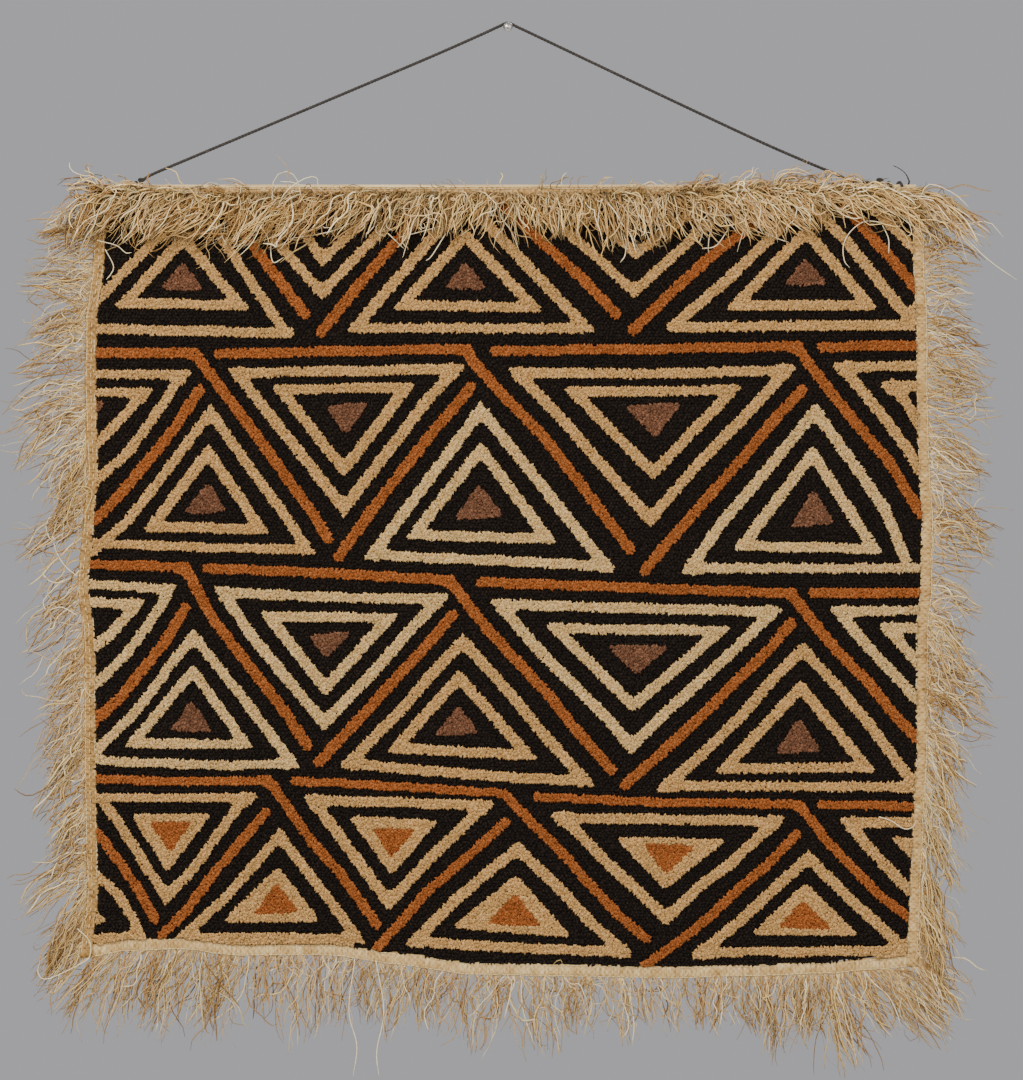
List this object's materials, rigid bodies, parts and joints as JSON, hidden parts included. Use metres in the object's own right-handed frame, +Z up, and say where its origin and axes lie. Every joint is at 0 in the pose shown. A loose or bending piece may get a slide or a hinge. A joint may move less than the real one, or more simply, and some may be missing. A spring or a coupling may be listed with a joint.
{
  "type": "kuba cut-pile raffia cloth on a hanging rod",
  "caption": "Square cut-pile raffia wall cloth with a loose fringe all round, tied to a flat wooden rod that hangs by a string over a wall pin.",
  "frame": {"origin": "centre of the pin's flat back end, on the wall's plane", "axes": "+Z up, the cloth's face looks along -Y, +X to the right as seen from the front"},
  "size_m": [0.7292, 0.02, 0.7526],
  "materials": {
    "cut_pile_raffia": "cut raffia pile in gold, black and rust on a woven ground",
    "raw_raffia": "undyed raffia, woven in the bands and loose in the fringe",
    "pale_wood_lath": "planed pale softwood, unvarnished",
    "dark_twisted_string": "dark twisted cotton string",
    "bright_steel": "bright steel pin with a domed head"
  },
  "bodies": {
    "root": {"cloth_panel": "cut_pile_raffia", "fringe_left": "raw_raffia", "fringe_right": "raw_raffia", "fringe_bottom": "raw_raffia", "fringe_top": "raw_raffia", "hanging_rod": "pale_wood_lath", "hanging_string": "dark_twisted_string", "left_knot": "dark_twisted_string", "right_knot": "dark_twisted_string", "left_lashing": "dark_twisted_string", "right_lashing": "dark_twisted_string", "wall_pin": "bright_steel"}
  },
  "joints": []
}
